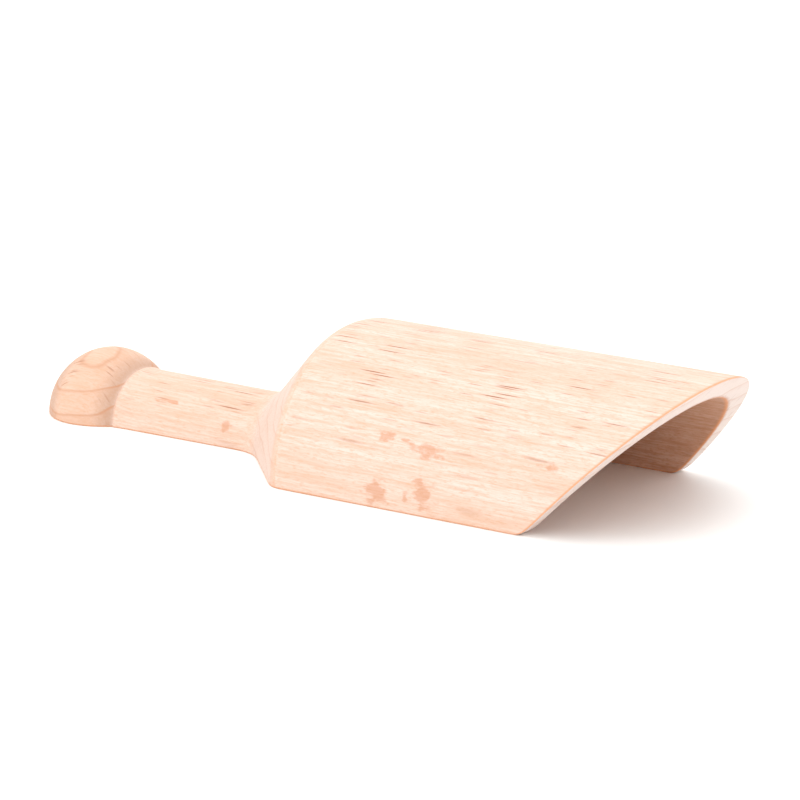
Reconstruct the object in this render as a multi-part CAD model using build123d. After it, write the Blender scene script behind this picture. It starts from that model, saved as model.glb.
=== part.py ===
from build123d import *
import os
from math import radians, sqrt, tan

# Small half-round scoop, made the way a wood turner makes it.  One beech blank is turned to the
# outer profile (knob, handle, cove, bowl), bored from the mouth end and sawn in half along its
# length, and the mouth is cut off at a slant.  Bowl, handle and knob are one piece of wood.
#
# Millimetres.  +X is the mouth end, Y runs across and +Z is up.  The sawn face is the flat
# underside on z = 0, with the hollow side down, and the turned axis lies in it.  The origin is
# the middle of the length, on that flat.

# --- overall sizes ---
overall_length = 79.6  # back of the knob to the tip of the mouth
bowl_diameter = 28.0  # turned diameter at the mouth's tip
bowl_taper = 0.3  # how much smaller that diameter is just ahead of the shoulder

# --- knob ---
knob_diameter = 13.1
knob_tail_length = 6.25  # from the back end to the widest place
knob_tail_fullness = 0.5  # 0.55 is a half ellipse, and less is a leaner tail
knob_nose_length = 6.5  # half axis of the front half ellipse, which the groove cuts short

# --- handle ---
ring_diameter = 10.4  # raised ring at the handle's rear end
ring_length = 0.8
ring_round = 0.35  # on its rear arris, beside the groove
groove_depth = 0.2  # quirk between knob and handle, below the ring's surface
handle_rear_diameter = 9.95
handle_front_diameter = 9.7
handle_length = 17.75  # from the groove to the point where handle and cone would meet

# --- back of the bowl ---
cone_angle = 45.0  # of the turned back, from the axis
cove_radius = 5.0  # hollow curve between handle and cone
shoulder_radius = 3.0  # round between cone and bowl

# --- bore, set off the turned axis so that the crown is thicker than the rims ---
crown_wall = 2.4  # at the top of the mouth
rim_wall = 1.7  # at the sawn flat, on each side
floor_setback = 7.0  # bore floor, ahead of the point where handle and cone would meet
floor_radius = 7.0  # round between the bore's wall and its floor

# --- mouth ---
mouth_slant = 44.0  # of the cut, from square across; its top reaches furthest out
mouth_corner_radius = 2.8  # where the slanted cut runs into the flat underside

# --- sanding ---
arris_radius = 0.25  # all round the sawn flat and the mouth, inside and outside

# --- places along the axis ---
tail_x = -overall_length / 2
tip_x = overall_length / 2
knob_x = tail_x + knob_tail_length
knob_radius = knob_diameter / 2
groove_radius = ring_diameter / 2 - groove_depth
groove_x = knob_x + knob_nose_length * sqrt(1 - (groove_radius / knob_radius) ** 2)
foot_x = groove_x + handle_length
bowl_radius = bowl_diameter / 2
rear_radius = bowl_radius - bowl_taper / 2
shoulder_rise = rear_radius - handle_front_diameter / 2
shoulder_x = foot_x + shoulder_rise / tan(radians(cone_angle))
floor_x = foot_x + floor_setback
past = 10.0  # how far the cutting shapes run past the wood

# The sharp corner of the slanted cut stands ahead of the tip, because its arris is rounded off.
tip_angle = radians(90 - mouth_slant)
sharp_tip_x = tip_x + arris_radius * (1 / tan(tip_angle / 2) - 1)
sharp_rim_x = sharp_tip_x - bowl_radius / tan(tip_angle)

# The bore's circle passes through the crown and both rims at their walls.
crown_height = bowl_radius - crown_wall
rim_reach = bowl_radius - rim_wall
bore_drop = (rim_reach**2 - crown_height**2) / (2 * crown_height)
bore_radius = crown_height + bore_drop


def turned_half(*outline):
    """Half a turned shape: its outline, closed along the axis, is swung through half a turn."""
    return revolve(make_face(outline), Axis.X, 180)


def knob():
    """The knob, with its nose running on inside the handle."""
    tail = Bezier(
        (knob_x, knob_radius),
        (knob_x - knob_tail_fullness * knob_tail_length, knob_radius),
        (tail_x, knob_tail_fullness * knob_radius),
        (tail_x, 0),
    )
    nose = EllipticalCenterArc(
        (knob_x, 0), knob_nose_length, knob_radius, 0, arc_size=90
    )
    half = turned_half(tail, nose, Line(tail @ 1, nose @ 0))
    flat = half.faces().sort_by(Axis.Z)[0]
    return fillet(flat.edges(), arris_radius)


def handle_and_bowl():
    """Handle, cove and bowl as they come off the lathe and the saw, still solid."""
    end_x = sharp_tip_x + past
    slope = (bowl_radius - rear_radius) / (tip_x - shoulder_x)
    end_radius = bowl_radius + slope * (end_x - tip_x)
    run = FilletPolyline(
        (groove_x, 0),
        (groove_x, ring_diameter / 2),
        (groove_x + ring_length, handle_rear_diameter / 2),
        (foot_x, handle_front_diameter / 2),
        (shoulder_x, rear_radius),
        (end_x, end_radius),
        radius=[ring_round, ring_length, cove_radius, shoulder_radius],
    )
    return turned_half(run, Polyline((end_x, end_radius), (end_x, 0), (groove_x, 0)))


def behind_the_mouth():
    """All that lies behind the slanted cut and above the flat, as a slab across the scoop."""
    top = bowl_radius + past
    top_x = sharp_rim_x + top / tan(tip_angle)
    rim_corner = (sharp_rim_x, 0)
    side = make_face(
        Polyline(
            (tail_x - past, 0), rim_corner, (top_x, top), (tail_x - past, top), close=True
        )
    )
    side = fillet(side.vertices().sort_by_distance(rim_corner)[0], mouth_corner_radius)
    return extrude(Plane.XZ * side, top, both=True)


def bore():
    """The round-bottomed hole that hollows the bowl."""
    side = Pos(floor_x, 0) * Rectangle(
        sharp_tip_x + past - floor_x, bore_radius, align=(Align.MIN, Align.MIN)
    )
    floor_corner = side.vertices().sort_by_distance((floor_x, bore_radius))[0]
    side = fillet(floor_corner, floor_radius)
    return Pos(0, 0, -bore_drop) * revolve(side, Axis.X)


def sanded(wood):
    """Round the arrises of the sawn flat, of the slanted mouth and of the corners between them."""
    planes = wood.faces().filter_by(GeomType.PLANE)
    flat = planes.sort_by(Axis.Z)[0]
    mouth = planes.sort_by(Axis.X)[-1]
    corners = [
        face
        for face in wood.faces().filter_by(GeomType.CYLINDER)
        if face.bounding_box().max.Z < mouth_corner_radius
    ]
    edges = [edge for face in [flat, mouth, *corners] for edge in face.edges()]
    # An edge that two of these faces share is smooth already; the others are the arrises.
    arrises = [edge for edge in edges if sum(edge.is_same(other) for other in edges) == 1]
    return fillet(arrises, arris_radius)


def scoop():
    """The whole scoop, one piece of wood."""
    hollowed = (handle_and_bowl() & behind_the_mouth()) - bore()
    return sanded(hollowed) + knob()


if __name__ == "__main__":
    os.makedirs("parts", exist_ok=True)
    export_step(scoop(), "parts/scoop.step")
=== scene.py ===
from math import cos, pi, radians, sin, sqrt, tan

import bpy
from mathutils import Matrix, Vector
from mathutils.geometry import interpolate_bezier


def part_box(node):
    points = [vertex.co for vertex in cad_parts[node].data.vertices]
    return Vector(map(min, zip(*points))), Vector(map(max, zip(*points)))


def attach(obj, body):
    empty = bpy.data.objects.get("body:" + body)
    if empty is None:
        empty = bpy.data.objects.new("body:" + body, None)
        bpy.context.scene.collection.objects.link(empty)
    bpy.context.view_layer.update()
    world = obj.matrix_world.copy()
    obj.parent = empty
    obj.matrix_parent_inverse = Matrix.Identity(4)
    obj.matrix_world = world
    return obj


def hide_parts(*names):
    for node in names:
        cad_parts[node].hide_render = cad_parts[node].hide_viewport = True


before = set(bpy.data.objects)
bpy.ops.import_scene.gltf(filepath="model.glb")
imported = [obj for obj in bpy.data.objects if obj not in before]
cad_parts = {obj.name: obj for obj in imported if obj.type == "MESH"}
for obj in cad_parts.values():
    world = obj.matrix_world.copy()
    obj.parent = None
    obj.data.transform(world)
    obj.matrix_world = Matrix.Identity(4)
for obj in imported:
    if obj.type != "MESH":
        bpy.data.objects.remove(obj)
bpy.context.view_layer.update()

# A small half-round scoop of beech, turned, bored, sawn in half along its length and cut off at a
# slant.  Metres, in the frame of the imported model: +X is the mouth end, +Z is up, and the sawn face
# is the flat underside on z = 0.

bl_info = {
    "name": "Turned Beech Scoop",
    "version": (1, 0, 0),
    "blender": (4, 5, 0),
    "location": "3D View > Sidebar > Scoop",
    "description": "Makes a half-round scoop that is turned and hollowed from one piece of beech",
    "category": "Add Mesh",
}

mm = 0.001
lowest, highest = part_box("scoop")
sharp_lead = 0.34 * mm  # how far the mouth's sharp corner stands ahead of its rounded tip
tip_arris = 0.7 * mm  # the acute corner at the tip of the mouth is rubbed further back than the rest
widest_turn = 0.3  # radians beside an arris that its round takes at most, where the outline is thin
widest_share = 0.3  # share of the wall beside an arris that its round takes at most
beside_arris = 0.3  # how burnished the wood is there, where the arris itself is 1


# ---------------------------------------------------------------------------------- colours


def linear(hex_colour):
    """The linear colour of an sRGB hex value such as "E8CDB0"."""
    channels = [int(hex_colour[i : i + 2], 16) / 255 for i in (0, 2, 4)]
    return [c / 12.92 if c <= 0.04045 else ((c + 0.055) / 1.055) ** 2.4 for c in channels]


# ------------------------------------------------------------------------- sizes and colours


def length_property(name, description, default):
    return bpy.props.FloatProperty(
        name=name, description=description, default=default, min=0, unit="LENGTH", precision=5
    )


def angle_property(name, description, degrees):
    return bpy.props.FloatProperty(
        name=name, description=description, default=radians(degrees), subtype="ANGLE"
    )


def colour_property(name, description, hex_colour):
    return bpy.props.FloatVectorProperty(
        name=name,
        description=description,
        default=linear(hex_colour),
        min=0,
        max=1,
        size=3,
        subtype="COLOR",
    )


class ScoopSizes(bpy.types.PropertyGroup):
    """Sizes of the turned, hollowed and slanted body."""

    overall_length: length_property(
        "Overall Length", "From the back of the knob to the tip of the mouth", highest.x - lowest.x
    )
    bowl_diameter: length_property("Bowl Diameter", "Turned diameter at the mouth's tip", 2 * highest.z)
    bowl_taper: length_property("Bowl Taper", "How much thinner the bowl is at its shoulder", 0.3 * mm)
    knob_diameter: length_property("Knob Diameter", "At the widest place", 13.1 * mm)
    knob_tail: length_property("Knob Tail", "From the back end to the widest place", 6.25 * mm)
    knob_nose: length_property("Knob Nose", "Half axis of the knob's front half ellipse", 6.5 * mm)
    ring_diameter: length_property("Ring Diameter", "Raised ring at the handle's rear end", 10.4 * mm)
    ring_length: length_property("Ring Length", "Along the handle", 0.8 * mm)
    ring_round: length_property("Ring Round", "On the ring's rear arris", 0.35 * mm)
    groove_depth: length_property("Groove Depth", "Below the ring, beside the knob", 0.2 * mm)
    handle_rear: length_property("Handle Rear", "Diameter just ahead of the ring", 9.95 * mm)
    handle_front: length_property("Handle Front", "Diameter before the cove", 9.7 * mm)
    handle_length: length_property("Handle Length", "From the groove to the foot of the cone", 17.75 * mm)
    cone_angle: angle_property("Cone Angle", "Of the bowl's back, from the axis", 45)
    cove_radius: length_property("Cove Radius", "Hollow curve between handle and cone", 5 * mm)
    shoulder_radius: length_property("Shoulder Radius", "Round between cone and bowl", 3 * mm)
    crown_wall: length_property("Crown Wall", "Thickness at the top of the mouth", 2.4 * mm)
    rim_wall: length_property("Rim Wall", "Thickness at the sawn flat", 1.7 * mm)
    floor_setback: length_property("Floor Setback", "Bore floor, ahead of the foot of the cone", 7 * mm)
    floor_radius: length_property("Floor Radius", "Round between the bore and its floor", 7 * mm)
    mouth_slant: angle_property("Mouth Slant", "Of the cut, from square across", 44)
    mouth_corner: length_property(
        "Mouth Corner", "Round at the foot of the cut, before subdividing widens it", 1.6 * mm
    )
    arris: length_property("Arris", "How far from each arris the sanding begins to round it", 0.24 * mm)


class ScoopFinish(bpy.types.PropertyGroup):
    """Colours and grain of the beech, and the painted shade laid in its hollow and on the end grain of its
    cone and knob.
    """

    sapwood: colour_property("Sapwood", "Pale wood between the fibres' streaks", "E8D0C3")
    latewood: colour_property("Latewood", "Darker streaks along the grain", "D5A98B")
    ring_line: colour_property("Ring Line", "Thin line that ends each growth ring", "C48C69")
    fleck: colour_property("Ray Fleck", "Rays cut lengthwise", "9C6142")
    stain: colour_property("Stain", "Large rays and stains", "C8865E")
    end_grain: colour_property("End Grain", "Sawn across the fibres at the mouth", "E2D5CE")
    # Painted shade: the colour of the shade laid on the end grain of the cone and the knob.
    shaded_turned_end: colour_property("Turned End", "End grain on cone and knob, closed by the tool", "A3826F")
    # Painted shade: this colour is laid over the whole inside of the hollow, darker and more orange than the
    # wood, standing in for the shade there.
    bore: colour_property("Bore", "Inside, as the boring tool left it", "CB9370")
    burnish: colour_property("Burnish", "Arrises rubbed by the sanding belt", "DE9768")
    ring_spacing: length_property("Ring Spacing", "Width of one year's growth", 1.9 * mm)


class ScoopStage(bpy.types.PropertyGroup):
    """Floor, light and camera."""

    floor_colour: colour_property("Floor", "Plain white table", "FAFAF9")
    light_strength: bpy.props.FloatProperty(
        name="Light",
        description="Share of full studio light",
        default=1,
        min=0,
        soft_max=2,
        subtype="FACTOR",
    )
    azimuth: angle_property("Azimuth", "Of the camera, round the scoop", 36.245)
    elevation: angle_property("Elevation", "Of the camera, above the floor", 14.616)


# ----------------------------------------------------------------------------------- helpers


def add(tree, kind, settings=None, inputs=None):
    """Add a node.  Each input is a value, an output socket, or a node whose first output is meant."""
    node = tree.nodes.new(kind)
    for name, value in (settings or {}).items():
        setattr(node, name, value)
    for key, value in (inputs or {}).items():
        socket = node.inputs[key]
        if isinstance(value, bpy.types.Node):
            value = value.outputs[0]
        if isinstance(value, bpy.types.NodeSocket):
            tree.links.new(value, socket)
        else:
            socket.default_value = value
    return node


def rounded(before, corner, after, radius, steps):
    """Points along the arc of that radius that rounds a corner of an outline."""
    back = (Vector(before) - Vector(corner)).normalized()
    ahead = (Vector(after) - Vector(corner)).normalized()
    half_angle = back.angle(ahead) / 2
    centre = Vector(corner) + (back + ahead).normalized() * radius / sin(half_angle)
    start = Vector(corner) + back * radius / tan(half_angle) - centre
    end = Vector(corner) + ahead * radius / tan(half_angle) - centre
    turn = start.angle(end)
    return [
        centre + (start * sin(turn * (1 - i / steps)) + end * sin(turn * i / steps)) / sin(turn)
        for i in range(steps + 1)
    ]


def between(start, end, steps):
    """Evenly spaced points strictly between two points."""
    return [Vector(start).lerp(Vector(end), i / steps) for i in range(1, steps)]


# ------------------------------------------------------------------------------ turned shape


class Places:
    """Places along the axis, worked out from the sizes."""

    def __init__(self, sizes):
        self.tail = lowest.x
        self.tip = lowest.x + sizes.overall_length
        self.knob = self.tail + sizes.knob_tail
        groove_share = (sizes.ring_diameter / 2 - sizes.groove_depth) / (sizes.knob_diameter / 2)
        self.groove = self.knob + sizes.knob_nose * sqrt(1 - groove_share**2)
        self.foot = self.groove + sizes.handle_length
        self.bowl_radius = sizes.bowl_diameter / 2
        self.rear_radius = self.bowl_radius - sizes.bowl_taper / 2
        shoulder_rise = self.rear_radius - sizes.handle_front / 2
        self.shoulder = self.foot + shoulder_rise / tan(sizes.cone_angle)
        self.floor = self.foot + sizes.floor_setback
        self.slant_start = self.floor + sizes.floor_radius
        edge_angle = pi / 2 - sizes.mouth_slant
        self.sharp_tip = self.tip + sharp_lead
        self.sharp_rim = self.sharp_tip - self.bowl_radius / tan(edge_angle)
        # The sides of the mouth are drawn back to the rim, so the whole mouth is as wide as the rim.
        rim_share = (self.sharp_rim - self.shoulder) / (self.sharp_tip - self.shoulder)
        self.mouth_radius = self.rear_radius + rim_share * (self.bowl_radius - self.rear_radius)
        crown_height = self.bowl_radius - sizes.crown_wall
        rim_reach = self.bowl_radius - sizes.rim_wall
        self.bore_drop = (rim_reach**2 - crown_height**2) / (2 * crown_height)
        self.bore_radius = crown_height + self.bore_drop


def knob_outline(sizes, places):
    """The knob's profile from its back end to the groove: a lean tail, then a half ellipse's nose."""
    knob_radius = sizes.knob_diameter / 2
    handles = [
        Vector((places.tail, 0)),
        Vector((places.tail, knob_radius / 2)),
        Vector((places.knob - sizes.knob_tail / 2, knob_radius)),
        Vector((places.knob, knob_radius)),
    ]
    tail_points = 10
    tail = interpolate_bezier(*handles, tail_points)
    nose_turns = (8, 16, 24, 31, 36)  # degrees, closer together towards the groove
    nose = [
        Vector((places.knob + sizes.knob_nose * sin(turn), knob_radius * cos(turn)))
        for turn in map(radians, nose_turns)
    ]
    return tail + nose


def turned_outline(sizes, places):
    """Points of the turned profile as (x, radius), from the back of the knob to the mouth's tip."""
    ring_radius = sizes.ring_diameter / 2
    groove_lead = sizes.ring_round / 10  # keeps the groove's foot clear of the ring's round
    groove_foot = ring_radius - sizes.groove_depth
    groove = Vector((places.groove + groove_lead, groove_foot - groove_lead))
    ring_rear = (places.groove, ring_radius)
    ring_front = (places.groove + sizes.ring_length, sizes.handle_rear / 2)
    foot = (places.foot, sizes.handle_front / 2)
    shoulder = (places.shoulder, places.rear_radius)
    tip = Vector((places.sharp_tip, places.mouth_radius))
    ring_run_out = 3 * sizes.ring_length  # radius where the ring's front falls away into the handle
    ring = rounded((places.groove, 0), ring_rear, ring_front, sizes.ring_round, steps=3)[1:]
    ring += rounded(ring_rear, ring_front, foot, ring_run_out, steps=2)
    cove = rounded(ring_front, foot, shoulder, sizes.cove_radius, steps=5)
    turn = rounded(foot, shoulder, tip, sizes.shoulder_radius, steps=5)
    handle = between(ring[-1], cove[0], steps=9)
    cone = between(cove[-1], turn[0], steps=7)
    back = Vector((tip_arris, 0))
    bowl = between(turn[-1], tip - 2 * back, steps=24)
    mouth = [tip - 2 * back, tip - back, tip]
    return knob_outline(sizes, places) + [groove] + ring + handle + cove + cone + turn + bowl + mouth


def outline_object(points):
    """The turned profile as a curve that the scoop's nodes read, one control point for each station."""
    curve = bpy.data.curves.new("turned_outline", "CURVE")
    curve.dimensions = "3D"
    spline = curve.splines.new("POLY")
    spline.points.add(len(points) - 1)
    for point, place in zip(spline.points, points):
        point.co = (place.x, 0, place.y, 1)
    outline = bpy.data.objects.new("turned_outline", curve)
    bpy.context.collection.objects.link(outline)
    return outline


def empty_tree():
    """The scoop's node tree with its named inputs, and the outputs of its input node."""
    tree = bpy.data.node_groups.new("Turned Scoop", "GeometryNodeTree")
    interface = tree.interface
    interface.new_socket(name="Geometry", in_out="OUTPUT", socket_type="NodeSocketGeometry")
    inputs = [("Outline", "Object"), ("Columns", "Int"), ("Levels", "Int")]
    inputs += [
        (name, "Float")
        for name in (
            "Bore Radius",
            "Bore Drop",
            "Floor Place",
            "Floor Radius",
            "Slant Start",
            "Tip Place",
            "Rim Place",
            "Slant",
            "Corner Radius",
            "Arris",
        )
    ]
    inputs += [("Material", "Material")]
    for name, kind in inputs:
        interface.new_socket(name=name, in_out="INPUT", socket_type="NodeSocket" + kind)
    return tree, add(tree, "NodeGroupInput").outputs


class Sheet:
    """A grid with one row for each station of the outline and one column for each angle round it."""

    def __init__(self, tree, given):
        self.tree, self.given = tree, given
        outline = add(tree, "GeometryNodeObjectInfo", {}, {"Object": given["Outline"]}).outputs["Geometry"]
        rows = add(tree, "GeometryNodeAttributeDomainSize", {"component": "CURVE"}, {0: outline})
        columns = given["Columns"]
        last_row = add(tree, "ShaderNodeMath", {"operation": "SUBTRACT"}, {0: rows, 1: 1.0})
        last_column = add(tree, "ShaderNodeMath", {"operation": "SUBTRACT"}, {0: columns, 1: 1.0})
        self.grid = add(
            tree,
            "GeometryNodeMeshGrid",
            {},
            {"Size X": last_row, "Size Y": last_column, "Vertices X": rows, "Vertices Y": columns},
        )
        index = add(tree, "GeometryNodeInputIndex")
        row_share = add(tree, "ShaderNodeMath", {"operation": "DIVIDE"}, {0: index, 1: columns})
        row = add(tree, "ShaderNodeMath", {"operation": "FLOOR"}, {0: row_share})
        row_start = add(tree, "ShaderNodeMath", {"operation": "MULTIPLY"}, {0: row, 1: columns})
        column = add(tree, "ShaderNodeMath", {"operation": "SUBTRACT"}, {0: index, 1: row_start})
        station = add(
            tree,
            "GeometryNodeSampleIndex",
            {"data_type": "FLOAT_VECTOR", "domain": "POINT"},
            {"Geometry": outline, "Value": add(tree, "GeometryNodeInputPosition"), "Index": row},
        )
        station_parts = add(tree, "ShaderNodeSeparateXYZ", {}, {0: station}).outputs
        self.along, self.turned_radius = station_parts["X"], station_parts["Z"]

        # The first and last columns lie on the flat, and the next ones beside them hold the arris.
        from_second = add(tree, "ShaderNodeMath", {"operation": "SUBTRACT"}, {0: column, 1: 1.0})
        inner_columns = add(tree, "ShaderNodeMath", {"operation": "SUBTRACT"}, {0: last_column, 1: 2.0})
        self.share = add(
            tree,
            "ShaderNodeMath",
            {"operation": "DIVIDE", "use_clamp": True},
            {0: from_second, 1: inner_columns},
        )
        from_last = add(tree, "ShaderNodeMath", {"operation": "SUBTRACT"}, {0: last_column, 1: column})
        self.off_first = add(tree, "ShaderNodeMath", {"operation": "MINIMUM"}, {0: column, 1: 1.0})
        self.off_last = add(tree, "ShaderNodeMath", {"operation": "MINIMUM"}, {0: from_last, 1: 1.0})

        # 1 on the sheet's border, at the flat and at the mouth, falling to 0 two faces in.
        from_mouth = add(tree, "ShaderNodeMath", {"operation": "SUBTRACT"}, {0: last_row, 1: row})
        from_flat = add(tree, "ShaderNodeMath", {"operation": "MINIMUM"}, {0: column, 1: from_last})
        inwards = add(tree, "ShaderNodeMath", {"operation": "MINIMUM"}, {0: from_mouth, 1: from_flat})
        self.border = add(
            tree,
            "ShaderNodeMapRange",
            {},
            {"Value": inwards, "From Max": 2.0, "To Min": 1.0, "To Max": 0.0},
        )

    def on_circle(self, x, radius, start_angle, drop):
        """Places round a circle, from start_angle above the flat, about a line that far below the axis."""
        tree, arris = self.tree, self.given["Arris"]
        safe = add(tree, "ShaderNodeMath", {"operation": "MAXIMUM"}, {0: radius, 1: arris})
        step = add(tree, "ShaderNodeMath", {"operation": "DIVIDE"}, {0: arris, 1: safe})
        arris_turn = add(tree, "ShaderNodeMath", {"operation": "MINIMUM"}, {0: step, 1: widest_turn})
        low, gap = [
            add(
                tree,
                "ShaderNodeMath",
                {"operation": "MULTIPLY_ADD"},
                {0: steps_in, 1: arris_turn, 2: start_angle},
            )
            for steps_in in (self.off_first, self.off_last)
        ]
        high = add(tree, "ShaderNodeMath", {"operation": "SUBTRACT"}, {0: pi, 1: gap})
        end_angle = add(tree, "ShaderNodeMath", {"operation": "SUBTRACT"}, {0: pi, 1: start_angle})
        even = add(
            tree, "ShaderNodeMapRange", {}, {"Value": self.share, "To Min": start_angle, "To Max": end_angle}
        )
        angle = add(tree, "ShaderNodeClamp", {}, {"Value": even, "Min": low, "Max": high})
        across = add(tree, "ShaderNodeMath", {"operation": "COSINE"}, {0: angle})
        up = add(tree, "ShaderNodeMath", {"operation": "SINE"}, {0: angle})
        left_first = add(tree, "ShaderNodeMath", {"operation": "MULTIPLY"}, {0: across, 1: radius})
        y = add(tree, "ShaderNodeMath", {"operation": "MULTIPLY"}, {0: left_first, 1: -1.0})
        rise = add(tree, "ShaderNodeMath", {"operation": "MULTIPLY"}, {0: up, 1: radius})
        z = add(tree, "ShaderNodeMath", {"operation": "SUBTRACT"}, {0: rise, 1: drop})
        return add(tree, "ShaderNodeCombineXYZ", {}, {"X": x, "Y": y, "Z": z})


def inside_places(sheet):
    """Where each point of the sheet goes inside: the flat's middle line, then the bore's flat floor, its
    round and its wall."""
    tree, given = sheet.tree, sheet.given
    floor_place, floor_radius = given["Floor Place"], given["Floor Radius"]
    past_floor = add(tree, "ShaderNodeMath", {"operation": "SUBTRACT"}, {0: sheet.along, 1: floor_place})
    round_share = add(
        tree, "ShaderNodeMath", {"operation": "DIVIDE", "use_clamp": True}, {0: past_floor, 1: floor_radius}
    )
    round_turn = add(tree, "ShaderNodeMath", {"operation": "MULTIPLY"}, {0: round_share, 1: pi / 2})
    turn_sine = add(tree, "ShaderNodeMath", {"operation": "SINE"}, {0: round_turn})
    turn_cosine = add(tree, "ShaderNodeMath", {"operation": "COSINE"}, {0: round_turn})
    lost = add(tree, "ShaderNodeMath", {"operation": "SUBTRACT"}, {0: 1.0, 1: turn_sine})
    narrower = add(tree, "ShaderNodeMath", {"operation": "MULTIPLY"}, {0: lost, 1: floor_radius})
    radius = add(tree, "ShaderNodeMath", {"operation": "SUBTRACT"}, {0: given["Bore Radius"], 1: narrower})
    ahead = add(tree, "ShaderNodeMath", {"operation": "SUBTRACT"}, {0: 1.0, 1: turn_cosine})
    round_ahead = add(tree, "ShaderNodeMath", {"operation": "MULTIPLY"}, {0: ahead, 1: floor_radius})
    past_round = add(tree, "ShaderNodeMath", {"operation": "SUBTRACT"}, {0: past_floor, 1: floor_radius})
    wall_ahead = add(tree, "ShaderNodeMath", {"operation": "MAXIMUM"}, {0: past_round, 1: 0.0})
    floor_lead = 3 * mm  # the floor opens out from the middle over this length of the outside
    lead = add(tree, "ShaderNodeMath", {"operation": "ADD"}, {0: past_floor, 1: floor_lead})
    behind = add(tree, "ShaderNodeMath", {"operation": "MINIMUM"}, {0: lead, 1: 0.0})
    opened = add(tree, "ShaderNodeMath", {"operation": "DIVIDE", "use_clamp": True}, {0: lead, 1: floor_lead})
    bore_x = floor_place
    for step in (behind, round_ahead, wall_ahead):
        bore_x = add(tree, "ShaderNodeMath", {"operation": "ADD"}, {0: bore_x, 1: step})
    drop_share = add(tree, "ShaderNodeMath", {"operation": "DIVIDE"}, {0: given["Bore Drop"], 1: radius})
    start_angle = add(tree, "ShaderNodeMath", {"operation": "ARCSINE"}, {0: drop_share})
    bored = sheet.on_circle(0.0, radius, start_angle, given["Bore Drop"])
    spread = add(tree, "ShaderNodeVectorMath", {"operation": "SCALE"}, {0: bored, "Scale": opened})
    bore_place = add(tree, "ShaderNodeCombineXYZ", {}, {"X": bore_x})
    return add(tree, "ShaderNodeVectorMath", {"operation": "ADD"}, {0: spread, 1: bore_place})


def hollowed(sheet, outside, inside):
    """The closed wall between outside and inside.

    Both places are kept on the sheet, which is laid on the outside and pushed through to the inside in
    four steps, so that its border leaves the sawn rim and the cut face of the mouth behind it.  The
    arrises, which the sanding burnishes, are the sheet's border on either side of that wall.
    """
    tree, arris = sheet.tree, sheet.given["Arris"]
    kept = sheet.grid.outputs["Mesh"]
    for name, kind, value in (
        ("outside", "FLOAT_VECTOR", outside),
        ("inside", "FLOAT_VECTOR", inside),
        ("border", "FLOAT", sheet.border),
        ("arris", "FLOAT", sheet.border),
        ("bored", "FLOAT", 0.0),
    ):
        kept = add(
            tree,
            "GeometryNodeStoreNamedAttribute",
            {"data_type": kind, "domain": "POINT"},
            {"Geometry": kept, "Name": name, "Value": value},
        )
    was_outside, was_inside, was_border = [
        add(tree, "GeometryNodeInputNamedAttribute", {"data_type": kind}, {"Name": name})
        for name, kind in (("outside", "FLOAT_VECTOR"), ("inside", "FLOAT_VECTOR"), ("border", "FLOAT"))
    ]
    laid = add(tree, "GeometryNodeSetPosition", {}, {"Geometry": kept, "Position": was_outside})
    wall = add(
        tree, "ShaderNodeVectorMath", {"operation": "DISTANCE"}, {0: was_outside, 1: was_inside}
    ).outputs["Value"]
    safe_wall = add(tree, "ShaderNodeMath", {"operation": "MAXIMUM"}, {0: wall, 1: arris})
    arris_share = add(tree, "ShaderNodeMath", {"operation": "DIVIDE"}, {0: arris, 1: safe_wall})
    near = add(tree, "ShaderNodeMath", {"operation": "MINIMUM"}, {0: arris_share, 1: widest_share})
    far = add(tree, "ShaderNodeMath", {"operation": "SUBTRACT"}, {0: 1.0, 1: near})

    pushed, moving_faces = laid, True
    for share_through, worn in ((near, beside_arris), (0.5, 0.0), (far, beside_arris), (1.0, 1.0)):
        extruded = add(
            tree,
            "GeometryNodeExtrudeMesh",
            {"mode": "FACES"},
            {"Mesh": pushed, "Selection": moving_faces, "Offset Scale": 0.0, "Individual": False},
        )
        moving_faces = extruded.outputs["Top"]
        through = add(
            tree,
            "ShaderNodeMix",
            {"data_type": "VECTOR"},
            {"Factor": share_through, 4: was_outside, 5: was_inside},
        ).outputs[1]
        moved = add(
            tree,
            "GeometryNodeSetPosition",
            {},
            {"Geometry": extruded, "Selection": moving_faces, "Position": through},
        )
        rubbed = add(tree, "ShaderNodeMath", {"operation": "MULTIPLY"}, {0: was_border, 1: worn})
        pushed = add(
            tree,
            "GeometryNodeStoreNamedAttribute",
            {"data_type": "FLOAT", "domain": "POINT"},
            {"Geometry": moved, "Selection": moving_faces, "Name": "arris", "Value": rubbed},
        )
    lined = add(
        tree,
        "GeometryNodeStoreNamedAttribute",
        {"data_type": "FLOAT", "domain": "POINT"},
        {"Geometry": pushed, "Selection": moving_faces, "Name": "bored", "Value": 1.0},
    )
    turned_over = add(tree, "GeometryNodeFlipFaces", {}, {"Mesh": lined})
    both = add(tree, "GeometryNodeJoinGeometry", {}, {"Geometry": laid})
    tree.links.new(turned_over.outputs["Mesh"], both.inputs["Geometry"])
    same_place = 0.001 * mm
    return add(tree, "GeometryNodeMergeByDistance", {}, {"Geometry": both, "Distance": same_place})


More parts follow.
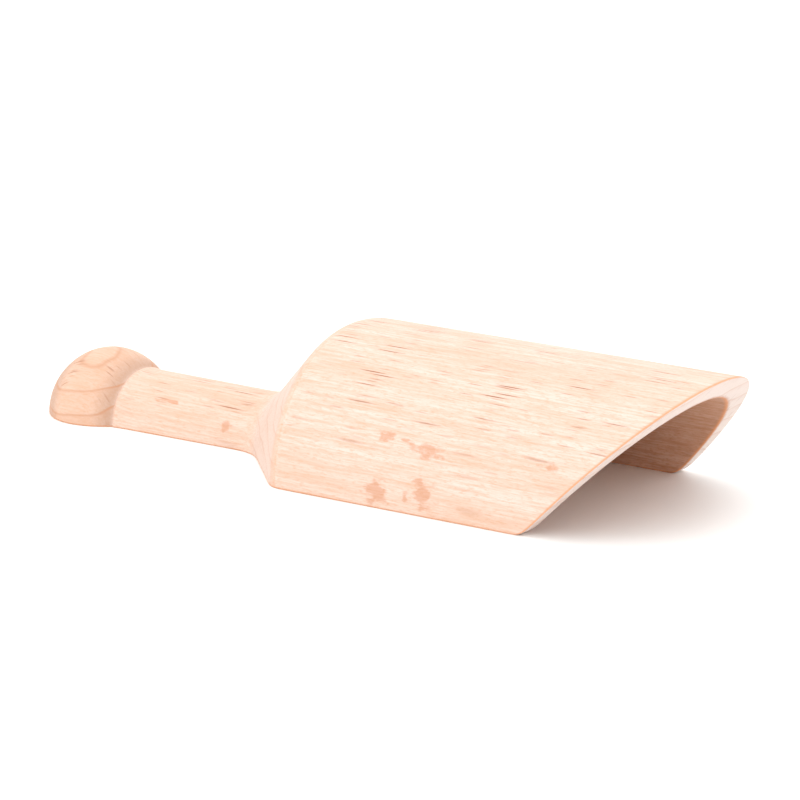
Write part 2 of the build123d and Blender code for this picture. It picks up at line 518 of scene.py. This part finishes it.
def slant_offset(tree, given):
    """How far each point moves to slant the square mouth.

    What lies ahead of the bore's round is drawn back towards it, by how high it is.  The cut is a plane
    that rounds off into the flat.
    """
    corner, start = given["Corner Radius"], given["Slant Start"]
    edge_angle = add(tree, "ShaderNodeMath", {"operation": "SUBTRACT"}, {0: pi / 2, 1: given["Slant"]})
    edge_cosine = add(tree, "ShaderNodeMath", {"operation": "COSINE"}, {0: edge_angle})
    rest = add(tree, "ShaderNodeMath", {"operation": "SUBTRACT"}, {0: 1.0, 1: edge_cosine})
    corner_top = add(tree, "ShaderNodeMath", {"operation": "MULTIPLY"}, {0: rest, 1: corner})
    half_edge = add(tree, "ShaderNodeMath", {"operation": "MULTIPLY"}, {0: edge_angle, 1: 0.5})
    half_tangent = add(tree, "ShaderNodeMath", {"operation": "TANGENT"}, {0: half_edge})
    corner_reach = add(tree, "ShaderNodeMath", {"operation": "MULTIPLY"}, {0: half_tangent, 1: corner})
    rim = given["Rim Place"]
    corner_x = add(tree, "ShaderNodeMath", {"operation": "SUBTRACT"}, {0: rim, 1: corner_reach})

    # Across the corner the cut follows a circle, and above it a straight slope.
    here = add(tree, "ShaderNodeSeparateXYZ", {}, {0: add(tree, "GeometryNodeInputPosition")}).outputs
    low_z = add(tree, "ShaderNodeMath", {"operation": "MINIMUM"}, {0: here["Z"], 1: corner_top})
    below = add(tree, "ShaderNodeMath", {"operation": "SUBTRACT"}, {0: corner, 1: low_z})
    below_squared = add(tree, "ShaderNodeMath", {"operation": "POWER"}, {0: below, 1: 2.0})
    radius_squared = add(tree, "ShaderNodeMath", {"operation": "POWER"}, {0: corner, 1: 2.0})
    squares = add(tree, "ShaderNodeMath", {"operation": "SUBTRACT"}, {0: radius_squared, 1: below_squared})
    positive = add(tree, "ShaderNodeMath", {"operation": "MAXIMUM"}, {0: squares, 1: 0.0})
    arc = add(tree, "ShaderNodeMath", {"operation": "SQRT"}, {0: positive})
    above = add(tree, "ShaderNodeMath", {"operation": "SUBTRACT"}, {0: here["Z"], 1: corner_top})
    over_corner = add(tree, "ShaderNodeMath", {"operation": "MAXIMUM"}, {0: above, 1: 0.0})
    slope = add(tree, "ShaderNodeMath", {"operation": "TANGENT"}, {0: given["Slant"]})
    arc_x = add(tree, "ShaderNodeMath", {"operation": "ADD"}, {0: corner_x, 1: arc})
    cut_x = add(tree, "ShaderNodeMath", {"operation": "MULTIPLY_ADD"}, {0: over_corner, 1: slope, 2: arc_x})

    cut_reach = add(tree, "ShaderNodeMath", {"operation": "SUBTRACT"}, {0: cut_x, 1: start})
    full_reach = add(tree, "ShaderNodeMath", {"operation": "SUBTRACT"}, {0: given["Tip Place"], 1: start})
    shrink = add(tree, "ShaderNodeMath", {"operation": "DIVIDE"}, {0: cut_reach, 1: full_reach})
    drawn_back = add(tree, "ShaderNodeMath", {"operation": "SUBTRACT"}, {0: shrink, 1: 1.0})
    reach = add(tree, "ShaderNodeMath", {"operation": "SUBTRACT"}, {0: here["X"], 1: start})
    moving = add(tree, "ShaderNodeMath", {"operation": "MAXIMUM"}, {0: reach, 1: 0.0})
    move = add(tree, "ShaderNodeMath", {"operation": "MULTIPLY"}, {0: moving, 1: drawn_back})
    return add(tree, "ShaderNodeCombineXYZ", {}, {"X": move})


def scoop_tree():
    """Geometry nodes that turn an outline through half a circle, hollow it and slant its mouth."""
    tree, given = empty_tree()
    sheet = Sheet(tree, given)
    outside = sheet.on_circle(sheet.along, sheet.turned_radius, 0.0, 0.0)
    closed = hollowed(sheet, outside, inside_places(sheet))
    slanted = add(
        tree, "GeometryNodeSetPosition", {}, {"Geometry": closed, "Offset": slant_offset(tree, given)}
    )
    # Subdividing rounds each arris over the narrow faces that were left beside it.
    smooth = add(tree, "GeometryNodeSubdivisionSurface", {}, {"Mesh": slanted, "Level": given["Levels"]})
    bare = add(tree, "GeometryNodeSetShadeSmooth", {}, {"Geometry": smooth})
    for name in ("outside", "inside", "border"):
        bare = add(tree, "GeometryNodeRemoveAttribute", {}, {"Geometry": bare, "Name": name})
    real = add(tree, "GeometryNodeRealizeInstances", {}, {"Geometry": bare})
    finished = add(tree, "GeometryNodeSetMaterial", {}, {"Geometry": real, "Material": given["Material"]})
    add(tree, "NodeGroupOutput", {}, {"Geometry": finished})
    return tree


def applied(tree, values, name):
    """The tree's result as a plain mesh object at the origin, with its inputs set by name."""
    holder = bpy.data.objects.new(name, bpy.data.meshes.new(name))
    bpy.context.collection.objects.link(holder)
    modifier = holder.modifiers.new(tree.name, "NODES")
    modifier.node_group = tree
    for item in tree.interface.items_tree:
        if item.in_out == "INPUT":
            modifier[item.identifier] = values[item.name]
    graph = bpy.context.evaluated_depsgraph_get()
    mesh = bpy.data.meshes.new_from_object(holder.evaluated_get(graph))
    holder.modifiers.remove(modifier)
    holder.data = mesh
    mesh.name = name
    return holder


# ------------------------------------------------------------------------------------- beech


def growth_rings(tree, grain, ring_spacing):
    """How dark the wood is within each year's growth: pale in spring, with a thin line at its end.

    The rings are shells about a pith that runs along the blank, far below the sawn face.
    """
    pith = (0, 9, -46)  # mm
    wander_reach = 4.5  # mm that the rings stray from true circles
    wander_repeats = (0.05, 0.11, 0.11)  # to the millimetre
    drift = add(tree, "ShaderNodeMapping", {}, {"Vector": grain, "Scale": wander_repeats})
    wander = add(tree, "ShaderNodeTexNoise", {}, {"Vector": drift, "Scale": 1.0, "Detail": 2.0})
    from_pith = add(tree, "ShaderNodeVectorMath", {"operation": "SUBTRACT"}, {0: grain, 1: pith})
    outwards = add(tree, "ShaderNodeVectorMath", {"operation": "MULTIPLY"}, {0: from_pith, 1: (0, 1, 1)})
    distance = add(tree, "ShaderNodeVectorMath", {"operation": "LENGTH"}, {0: outwards}).outputs["Value"]
    wavy = add(
        tree, "ShaderNodeMath", {"operation": "MULTIPLY_ADD"}, {0: wander, 1: wander_reach, 2: distance}
    )
    years = add(tree, "ShaderNodeMath", {"operation": "DIVIDE"}, {0: wavy, 1: ring_spacing / mm})
    season = add(tree, "ShaderNodeMath", {"operation": "FRACT"}, {0: years})
    late = add(tree, "ShaderNodeValToRGB", {}, {0: season})
    # The line at a year's end is half faded where the next year begins.
    ramp = late.color_ramp
    for element in ramp.elements:
        element.color = (0.5, 0.5, 0.5, 1)
    for share_of_year, darkness in ((0.03, 0.0), (0.6, 0.06), (0.88, 0.25), (0.96, 1.0)):
        ramp.elements.new(share_of_year).color = (darkness, darkness, darkness, 1)
    return late


def fibres(tree, grain):
    """Fine streaks, broad soft bands and short pores, and the noise that the fine streaks come from.

    Real fibres are under 0.1 mm wide, and these are drawn as coarse as they need to show.
    """
    noises, shares = [], []
    # Repeats to the millimetre along and across the grain, detail, the noise at which a streak begins
    # and is full, and its strength.
    for along, across, detail, begins, full, strength in (
        (0.18, 4.4, 4.0, 0.4, 0.66, 0.65),
        (0.03, 0.5, 2.0, 0.42, 0.65, 0.35),
        (1.4, 7.5, 2.0, 0.5, 0.7, 0.65),
    ):
        place = add(tree, "ShaderNodeMapping", {}, {"Vector": grain, "Scale": (along, across, across)})
        noise = add(
            tree,
            "ShaderNodeTexNoise",
            {},
            {"Vector": place, "Scale": 1.0, "Detail": detail, "Roughness": 0.7},
        )
        share = add(
            tree,
            "ShaderNodeMapRange",
            {},
            {"Value": noise, "From Min": begins, "From Max": full, "To Max": strength},
        )
        noises.append(noise)
        shares.append(share)
    return shares, noises[0]


def rays(tree, grain):
    """Long and short rays as dark dashes: thin upright blades, 2 to 5 mm along the grain and less than
    two tenths thick."""
    flecks = []
    # Each cell's length, thickness and height in mm, the share of it that a ray reaches from its middle,
    # and how many of the cells stay empty.
    for cell, reach, empty in (((7.0, 0.25, 2.2), 0.34, 0.68), ((3.4, 0.22, 1.5), 0.36, 0.58)):
        cells_in_mm = [1 / side for side in cell]
        place = add(tree, "ShaderNodeMapping", {}, {"Vector": grain, "Scale": cells_in_mm})
        cells = add(tree, "ShaderNodeTexVoronoi", {}, {"Vector": place, "Scale": 1.0}).outputs
        pick = add(tree, "ShaderNodeSeparateColor", {}, {0: cells["Color"]})
        shape, chosen = [
            add(
                tree,
                "ShaderNodeMapRange",
                {"interpolation_type": "SMOOTHSTEP"},
                {"Value": value, "From Min": none, "From Max": whole},
            )
            for value, none, whole in ((cells["Distance"], reach, reach / 5), (pick, empty, empty + 0.1))
        ]
        flecks.append(add(tree, "ShaderNodeMath", {"operation": "MULTIPLY"}, {0: shape, 1: chosen}))
    return flecks


def large_marks(tree, grain, in_mm):
    """A few large rays and stains with ragged edges, on the bowl's near side and the handle."""
    depth = 2.5  # mm into the wood
    raggedness = 3.4  # in half sizes of the mark; the noise is about a half on average
    edge_repeats = (0.9, 1.6, 1.6)  # to the millimetre
    edge_place = add(tree, "ShaderNodeMapping", {}, {"Vector": grain, "Scale": edge_repeats})
    edge_noise = add(tree, "ShaderNodeTexNoise", {}, {"Vector": edge_place, "Scale": 1.0, "Detail": 4.0})
    marked = 0.0
    # Place, then half sizes along and up, all in mm.
    for place, half_length, half_height in (
        ((10, -12.2, 6.7), 1.3, 0.5),
        ((12.2, -12.3, 6.6), 0.6, 0.2),
        ((13.2, -12.4, 6.4), 0.7, 0.3),
        ((15.3, -12.6, 6.0), 1.7, 0.9),
        ((9.8, -13.9, 1.5), 1.4, 1.2),
        ((15.2, -13.8, 2.0), 1.6, 1.5),
        ((13.2, -13.9, 1.5), 0.5, 0.8),
        ((28.6, -12.3, 6.5), 1.1, 0.4),
        ((-15.3, -4.5, 2.0), 0.8, 0.6),
        ((-22.9, -3.6, 3.3), 1.4, 0.25),
    ):
        shrink = (1 / half_length, 1 / depth, 1 / half_height)
        away = add(tree, "ShaderNodeVectorMath", {"operation": "SUBTRACT"}, {0: in_mm, 1: place})
        scaled = add(tree, "ShaderNodeVectorMath", {"operation": "MULTIPLY"}, {0: away, 1: shrink})
        reach = add(tree, "ShaderNodeVectorMath", {"operation": "LENGTH"}, {0: scaled}).outputs["Value"]
        ragged = add(
            tree, "ShaderNodeMath", {"operation": "MULTIPLY_ADD"}, {0: edge_noise, 1: raggedness, 2: reach}
        )
        mark = add(
            tree,
            "ShaderNodeMapRange",
            {"interpolation_type": "SMOOTHSTEP"},
            {"Value": ragged, "From Min": raggedness / 2 + 1.05, "From Max": raggedness / 2 + 0.25},
        )
        marked = add(tree, "ShaderNodeMath", {"operation": "MAXIMUM"}, {0: marked, 1: mark})
    return marked


def end_grain_shares(tree, end_share, knob_share, back_share):
    """How pale the sawn end grain is, and how much painted shade darkens the end grain of the cone and the
    knob.
    """
    pale_end = add(tree, "ShaderNodeMath", {"operation": "MULTIPLY"}, {0: end_share, 1: 0.8})
    turned_shares = add(tree, "ShaderNodeMath", {"operation": "ADD"}, {0: back_share, 1: knob_share})
    # Whole at the mouth, half on the cone and none on the knob.
    sawn_share = add(
        tree, "ShaderNodeMath", {"operation": "MULTIPLY_ADD"}, {0: turned_shares, 1: -0.5, 2: 1.0}
    )
    paleness = add(tree, "ShaderNodeMath", {"operation": "MULTIPLY"}, {0: pale_end, 1: sawn_share})
    # Painted shade: the end grain behind the shoulder is darkened, lightly on the cone and more on the knob.
    shaded_turned_end = add(tree, "ShaderNodeMath", {"operation": "MULTIPLY"}, {0: end_share, 1: back_share})
    cone_and_knob = add(
        tree, "ShaderNodeMath", {"operation": "MULTIPLY_ADD"}, {0: knob_share, 1: 0.3, 2: 0.15}
    )
    darkness = add(tree, "ShaderNodeMath", {"operation": "MULTIPLY"}, {0: shaded_turned_end, 1: cone_and_knob})
    return paleness, darkness


def burnished_shares(tree, along, places):
    """Where the sanding belt rubbed the wood: the arrises, and more lightly the bowl's shoulder."""
    shoulder_reach = 0.45  # mm on either side
    arris = add(tree, "ShaderNodeAttribute", {"attribute_name": "arris"}).outputs["Fac"]
    arris_share = add(
        tree,
        "ShaderNodeMapRange",
        {"interpolation_type": "SMOOTHSTEP"},
        {"Value": arris, "From Min": 0.58, "From Max": 0.96, "To Max": 0.8},
    )
    near_shoulder = add(
        tree,
        "ShaderNodeMath",
        {"operation": "COMPARE"},
        {0: along, 1: places.shoulder / mm, 2: shoulder_reach},
    )
    shoulder_share = add(tree, "ShaderNodeMath", {"operation": "MULTIPLY"}, {0: near_shoulder, 1: 0.18})
    return arris_share, shoulder_share


def beech(finish, places):
    """Beech, turned and belt sanded, with no varnish: a dry, even, faintly silky surface.

    The solid wood runs right through the piece, so a cut along the grain shows fine streaks and rays as
    short dark dashes, and a cut across it shows paler, greyer end grain with the growth rings as thin
    lines.
    """
    material = bpy.data.materials.new("sanded_beech")
    material.use_nodes = True
    tree = material.node_tree
    tree.nodes.clear()
    coordinates = add(tree, "ShaderNodeTexCoord").outputs
    in_mm = add(tree, "ShaderNodeMapping", {}, {"Vector": coordinates["Object"], "Scale": (1 / mm,) * 3})
    off_axis = (0, radians(-0.6), radians(0.8))  # the blank was sawn a little off the grain
    grain = add(tree, "ShaderNodeMapping", {}, {"Vector": in_mm, "Rotation": off_axis})
    facing = add(tree, "ShaderNodeSeparateXYZ", {}, {0: coordinates["Normal"]}).outputs
    across = add(tree, "ShaderNodeMath", {"operation": "ABSOLUTE"}, {0: facing["X"]})
    upward = add(tree, "ShaderNodeMath", {"operation": "ABSOLUTE"}, {0: facing["Z"]})
    # End grain begins where the surface turns some 17 degrees out of the grain, and is whole at 38.
    end_share = add(
        tree,
        "ShaderNodeMapRange",
        {"interpolation_type": "SMOOTHSTEP"},
        {"Value": across, "From Min": 0.3, "From Max": 0.62},
    )

    # The knob, and all that lies behind the bowl's shoulder, each fading out over a short way.
    fade = 0.3  # mm on either side
    along = add(tree, "ShaderNodeSeparateXYZ", {}, {0: in_mm})
    knob_share, back_share = [
        add(
            tree,
            "ShaderNodeMapRange",
            {"interpolation_type": "SMOOTHSTEP"},
            {"Value": along, "From Min": edge / mm + fade, "From Max": edge / mm - fade},
        )
        for edge in (places.groove, places.shoulder)
    ]

    # Growth rings show faintly on the long grain, and best on end grain and on the knob.
    late = growth_rings(tree, grain, finish.ring_spacing)
    ring_end = add(tree, "ShaderNodeMath", {"operation": "MULTIPLY_ADD"}, {0: end_share, 1: 0.3, 2: 0.08})
    ring_knob = add(
        tree, "ShaderNodeMath", {"operation": "MULTIPLY_ADD"}, {0: knob_share, 1: 0.5, 2: ring_end}
    )
    ring_share = add(tree, "ShaderNodeMath", {"operation": "MULTIPLY"}, {0: late, 1: ring_knob})

    # Rays show best from their thin edge, on top, and all round the bore, where the tool tore them.
    top_depth = add(
        tree, "ShaderNodeMapRange", {}, {"Value": upward, "From Min": 0.3, "From Max": 0.8, "To Min": 0.15}
    )
    bored = add(tree, "ShaderNodeAttribute", {"attribute_name": "bored"}).outputs["Fac"]
    fleck_depth = add(tree, "ShaderNodeMath", {"operation": "MAXIMUM"}, {0: top_depth, 1: bored})
    long_rays, short_rays = [
        add(tree, "ShaderNodeMath", {"operation": "MULTIPLY"}, {0: fleck, 1: fleck_depth})
        for fleck in rays(tree, grain)
    ]

    marked = large_marks(tree, grain, in_mm)
    long_share, short_share, mark_share, bore_shade_share, handle_warmth = [
        add(tree, "ShaderNodeMath", {"operation": "MULTIPLY"}, {0: place, 1: strength})
        for place, strength in (
            (long_rays, 0.95),
            (short_rays, 0.5),
            (marked, 0.55),
            (bored, 0.6),
            (back_share, 0.2),
        )
    ]
    warmth = add(
        tree, "ShaderNodeMath", {"operation": "MULTIPLY_ADD"}, {0: knob_share, 1: 0.35, 2: handle_warmth}
    )
    end_paleness, end_shade = end_grain_shares(tree, end_share, knob_share, back_share)
    arris_share, shoulder_share = burnished_shares(tree, along, places)
    (fine, broad, pores), fine_noise = fibres(tree, grain)
    bore_streaks, bore_pores = [
        add(tree, "ShaderNodeMath", {"operation": "MULTIPLY"}, {0: bored, 1: texture})
        for texture in (fine, pores)
    ]

    # Colours are laid one over the other, each with its share; the bore's layer and the turned end's layer
    # are painted shade.
    colour = (*finish.sapwood, 1)
    for share, layer in (
        (fine, finish.latewood),
        (broad, finish.latewood),
        (pores, finish.latewood),
        (warmth, finish.latewood),
        (end_paleness, finish.end_grain),
        # Painted shade on the end grain of the cone and the knob.
        (end_shade, finish.shaded_turned_end),
        (ring_share, finish.ring_line),
        (short_share, finish.fleck),
        (long_share, finish.fleck),
        (mark_share, finish.stain),
        (bore_streaks, finish.fleck),
        (bore_pores, finish.fleck),
        # Painted shade over the whole inside of the hollow.
        (bore_shade_share, finish.bore),
        (shoulder_share, finish.burnish),
        (arris_share, finish.burnish),
    ):
        colour = add(
            tree,
            "ShaderNodeMix",
            {"data_type": "RGBA"},
            {"Factor": share, 6: colour, 7: (*layer, 1)},
        ).outputs[2]

    # The softer wood between the streaks is sanded a little lower, and shines a little more.
    relief = 0.06 * mm
    roughness = add(
        tree,
        "ShaderNodeMapRange",
        {},
        {"Value": fine_noise, "From Min": 0.3, "From Max": 0.7, "To Min": 0.52, "To Max": 0.66},
    )
    bump = add(tree, "ShaderNodeBump", {}, {"Height": fine_noise, "Strength": 0.35, "Distance": relief})
    shader = add(
        tree,
        "ShaderNodeBsdfPrincipled",
        {},
        {
            "Base Color": colour,
            "Roughness": roughness,
            "IOR": 1.5,
            "Specular IOR Level": 0.3,
            "Normal": bump,
        },
    )
    add(tree, "ShaderNodeOutputMaterial", {}, {"Surface": shader})
    return material


# --------------------------------------------------------------------------------- operators


class SCOOP_OT_turn_body(bpy.types.Operator):
    """Turn, hollow and slant the scoop from one piece of beech"""

    bl_idname = "scoop.turn_body"
    bl_label = "Turn Scoop"

    def execute(self, context):
        sizes, finish = context.scene.scoop_sizes, context.scene.scoop_finish
        places = Places(sizes)
        outline = outline_object(turned_outline(sizes, places))
        material = beech(finish, places)
        values = {
            "Outline": outline,
            "Columns": 28,
            "Levels": 2,
            "Bore Radius": places.bore_radius,
            "Bore Drop": places.bore_drop,
            "Floor Place": places.floor,
            "Floor Radius": sizes.floor_radius,
            "Slant Start": places.slant_start,
            "Tip Place": places.sharp_tip,
            "Rim Place": places.sharp_rim,
            "Slant": sizes.mouth_slant,
            "Corner Radius": sizes.mouth_corner,
            "Arris": sizes.arris,
            "Material": material,
        }
        body = applied(scoop_tree(), values, "turned_scoop")
        bpy.data.objects.remove(outline)
        if not body.data.polygons:
            raise RuntimeError("the scoop's nodes made no faces")
        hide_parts("scoop")
        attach(body, "root")
        return {"FINISHED"}


class SCOOP_OT_set_stage(bpy.types.Operator):
    """Lay the floor, hang the lights and set the camera"""

    bl_idname = "scoop.set_stage"
    bl_label = "Set Stage"

    def execute(self, context):
        stage = context.scene.scoop_stage
        lay_floor(stage)
        hang_lights(stage)
        place_camera(stage)
        context.scene.view_settings.view_transform = "Standard"
        return {"FINISHED"}


def lay_floor(stage):
    """A plain white table, larger than the view."""
    material = bpy.data.materials.new("white_table")
    material.use_nodes = True
    tree = material.node_tree
    tree.nodes.clear()
    shader = add(
        tree,
        "ShaderNodeBsdfPrincipled",
        {},
        {"Base Color": (*stage.floor_colour, 1), "Roughness": 0.6, "IOR": 1.45},
    )
    add(tree, "ShaderNodeOutputMaterial", {}, {"Surface": shader})
    reach = 3.0
    mesh = bpy.data.meshes.new("floor")
    corners = [(-reach, -reach, 0), (reach, -reach, 0), (reach, reach, 0), (-reach, reach, 0)]
    mesh.from_pydata(corners, [], [(0, 1, 2, 3)])
    mesh.materials.append(material)
    floor = bpy.data.objects.new("floor", mesh)
    bpy.context.collection.objects.link(floor)


def hang_lights(stage):
    """A soft box almost overhead, a weaker one on the left and a pale room all round."""
    room_strength = 1.36
    # Place and side in metres, and power in watts.
    for name, place, side, power in (
        ("top_softbox", (-0.06, -0.02, 0.75), 0.60, 0.95),
        ("left_softbox", (-0.45, -0.30, 0.40), 0.40, 0.3),
    ):
        light = bpy.data.lights.new(name, "AREA")
        light.shape = "SQUARE"
        light.size = side
        light.energy = power * stage.light_strength
        lamp = bpy.data.objects.new(name, light)
        lamp.location = place
        lamp.rotation_euler = Vector(place).to_track_quat("Z", "Y").to_euler()
        bpy.context.collection.objects.link(lamp)
    world = bpy.data.worlds.new("pale_room")
    world.use_nodes = True
    background = world.node_tree.nodes["Background"]
    background.inputs["Color"].default_value = (1, 1, 1, 1)
    background.inputs["Strength"].default_value = room_strength * stage.light_strength
    bpy.context.scene.world = world


def place_camera(stage):
    """A long lens a little above the table."""
    data = bpy.data.cameras.new("camera")
    data.sensor_width = 36
    data.lens = 236.15
    data.clip_start = 0.01
    data.clip_end = 20
    camera = bpy.data.objects.new("camera", data)
    bpy.context.collection.objects.link(camera)
    roll = radians(-0.365)
    turn = Matrix.Rotation(stage.azimuth, 4, "Z")
    tilt = Matrix.Rotation(pi / 2 - stage.elevation, 4, "X")
    place = Vector((292.86, -395.82, 134.46)) * mm
    camera.matrix_world = Matrix.Translation(place) @ turn @ tilt @ Matrix.Rotation(roll, 4, "Z")
    bpy.context.scene.camera = camera


class SCOOP_PT_panel(bpy.types.Panel):
    """Lists the steps that make the scoop"""

    bl_idname = "SCOOP_PT_panel"
    bl_label = "Beech Scoop"
    bl_space_type = "VIEW_3D"
    bl_region_type = "UI"
    bl_category = "Scoop"

    def draw(self, context):
        for step in steps:
            self.layout.operator(step.bl_idname)
        for group in (context.scene.scoop_sizes, context.scene.scoop_finish, context.scene.scoop_stage):
            box = self.layout.box()
            for name in group.__annotations__:
                box.prop(group, name)


steps = (SCOOP_OT_turn_body, SCOOP_OT_set_stage)
groups = {"scoop_sizes": ScoopSizes, "scoop_finish": ScoopFinish, "scoop_stage": ScoopStage}


def register():
    for kind in (*groups.values(), *steps, SCOOP_PT_panel):
        bpy.utils.register_class(kind)
    for name, kind in groups.items():
        setattr(bpy.types.Scene, name, bpy.props.PointerProperty(type=kind))


def unregister():
    for name in groups:
        delattr(bpy.types.Scene, name)
    for kind in (SCOOP_PT_panel, *steps, *groups.values()):
        bpy.utils.unregister_class(kind)


def main():
    """Make the scoop and its stage."""
    register()
    bpy.ops.scoop.turn_body()
    bpy.ops.scoop.set_stage()


if __name__ == "__main__":
    main()
